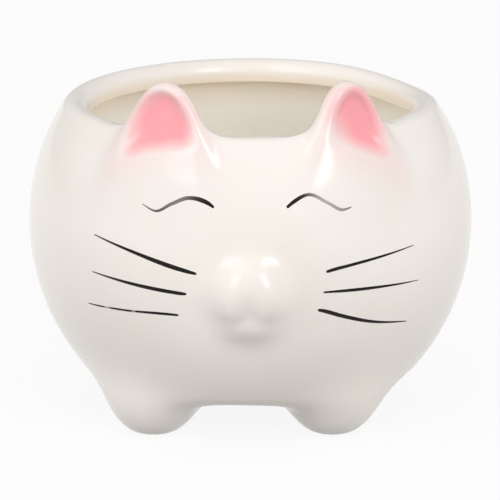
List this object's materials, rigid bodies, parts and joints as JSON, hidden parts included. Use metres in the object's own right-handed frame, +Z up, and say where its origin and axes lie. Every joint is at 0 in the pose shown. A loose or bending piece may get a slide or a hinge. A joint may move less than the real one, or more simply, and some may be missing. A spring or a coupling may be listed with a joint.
{
  "type": "cat-shaped planter",
  "caption": "Round glazed ceramic planter shaped as a sitting cat's head, with ears on its lip, painted closed eyes and whiskers, stub feet and a stopper in its drain hole.",
  "frame": {"origin": "middle of the planter's box, on the surface that its feet stand on", "axes": "+Z up through the mouth, -Y the way the face looks, +X to the viewer's right when facing it"},
  "size_m": [0.132, 0.1376, 0.1083],
  "materials": {
    "glaze": "glossy warm white glaze",
    "pink_enamel": "airbrushed pink under gloss glaze",
    "black_enamel": "brushed black enamel, glossy",
    "stopper": "soft matt rubber"
  },
  "bodies": {
    "planter": {"bowl": "glaze", "left_ear": "glaze", "right_ear": "glaze", "left_pad": "glaze", "right_pad": "glaze", "chin": "glaze", "front_left_foot": "glaze", "front_right_foot": "glaze", "rear_left_foot": "glaze", "rear_right_foot": "glaze", "left_ear_blush": "pink_enamel", "right_ear_blush": "pink_enamel", "left_eye_line": "black_enamel", "right_eye_line": "black_enamel", "left_top_whisker": "black_enamel", "left_middle_whisker": "black_enamel", "left_bottom_whisker": "black_enamel", "right_top_whisker": "black_enamel", "right_middle_whisker": "black_enamel", "right_bottom_whisker": "black_enamel"},
    "stopper": {"drain_plug": "stopper"}
  },
  "joints": [
    {"name": "stopper_pull", "type": "slide", "parent": "planter", "child": "stopper", "axis": [0, 0, -1], "range_m": [0, 0.025]}
  ]
}
